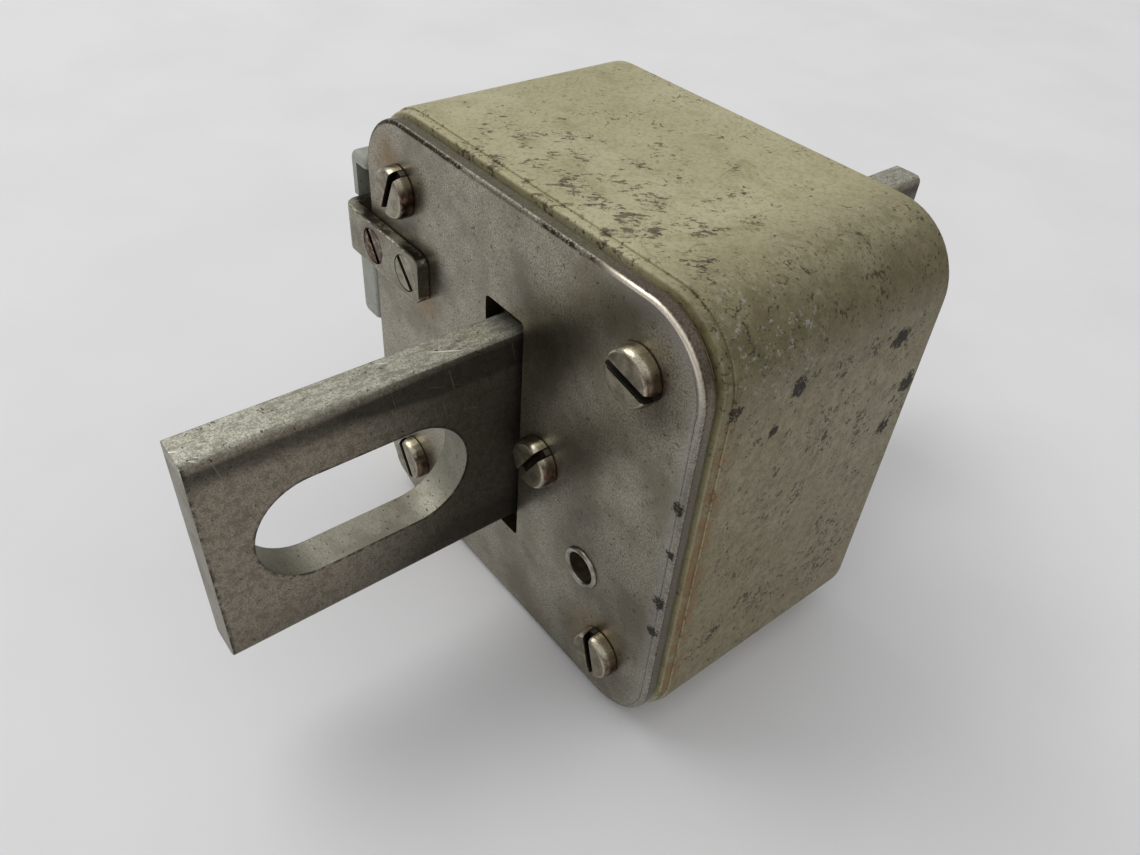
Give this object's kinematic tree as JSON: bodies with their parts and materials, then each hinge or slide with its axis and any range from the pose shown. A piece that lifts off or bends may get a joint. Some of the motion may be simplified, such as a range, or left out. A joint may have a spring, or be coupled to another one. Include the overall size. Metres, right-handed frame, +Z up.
{
  "type": "cartridge fuse",
  "caption": "Square ceramic cartridge fuse with screwed metal end plates, slotted flat blades for bolting to busbars, and a side trip indicator.",
  "frame": {"origin": "middle of the flat ceramic side that the fuse stands on", "axes": "+Y along the fuse from the front end plate, which has the filling eyelet, to the rear one; +X square to the flat blades, away from the side indicator; +Z up, in the plane of the blades"},
  "size_m": [0.0818, 0.141, 0.076],
  "materials": {
    "ceramic": "satin cream glaze with dark scuffs",
    "end_plate": "dull nickel plate with fine grain",
    "blade": "dull tarnished plate over copper, worn bright on its edges",
    "bracket": "dull nickel plate",
    "screw": "bright nickel plate with brown tarnish",
    "bracket_screw": "nickel plate, partly rusted",
    "eyelet": "bright rolled steel",
    "gasket": "brown fibre sheet",
    "copper": "bare copper",
    "silver": "rolled silver strip",
    "sand": "packed quartz sand",
    "housing": "smooth grey moulding",
    "brass": "turned brass",
    "spring_steel": "drawn wire"
  },
  "bodies": {
    "fuse": {"ceramic_body": "ceramic", "front_end_plate": "end_plate", "front_gasket": "gasket", "front_blade": "blade", "front_contact_block": "copper", "front_corner_screw_1": "screw", "front_corner_screw_2": "screw", "front_corner_screw_3": "screw", "front_corner_screw_4": "screw", "front_contact_screw_1": "screw", "front_contact_screw_2": "screw", "front_indicator_bracket": "bracket", "front_bracket_screw_1": "bracket_screw", "front_bracket_screw_2": "bracket_screw", "rear_end_plate": "end_plate", "rear_gasket": "gasket", "rear_blade": "blade", "rear_contact_block": "copper", "rear_corner_screw_1": "screw", "rear_corner_screw_2": "screw", "rear_corner_screw_3": "screw", "rear_corner_screw_4": "screw", "rear_contact_screw_1": "screw", "rear_contact_screw_2": "screw", "rear_indicator_bracket": "bracket", "rear_bracket_screw_1": "bracket_screw", "rear_bracket_screw_2": "bracket_screw", "fill_eyelet": "eyelet", "fill_plug": "gasket", "fuse_element_1": "silver", "fuse_element_2": "silver", "fuse_element_3": "silver", "fuse_element_4": "silver", "quartz_sand_fill": "sand", "indicator_housing": "housing", "striker_bush": "brass", "indicator_spring": "spring_steel", "trip_wire": "spring_steel"},
    "striker": {"indicator_striker": "brass"}
  },
  "joints": [
    {"name": "striker_release", "type": "slide", "parent": "fuse", "child": "striker", "axis": [0, 0, 1], "range_m": [0, 0.007], "deforming": ["indicator_spring", "trip_wire"]}
  ]
}
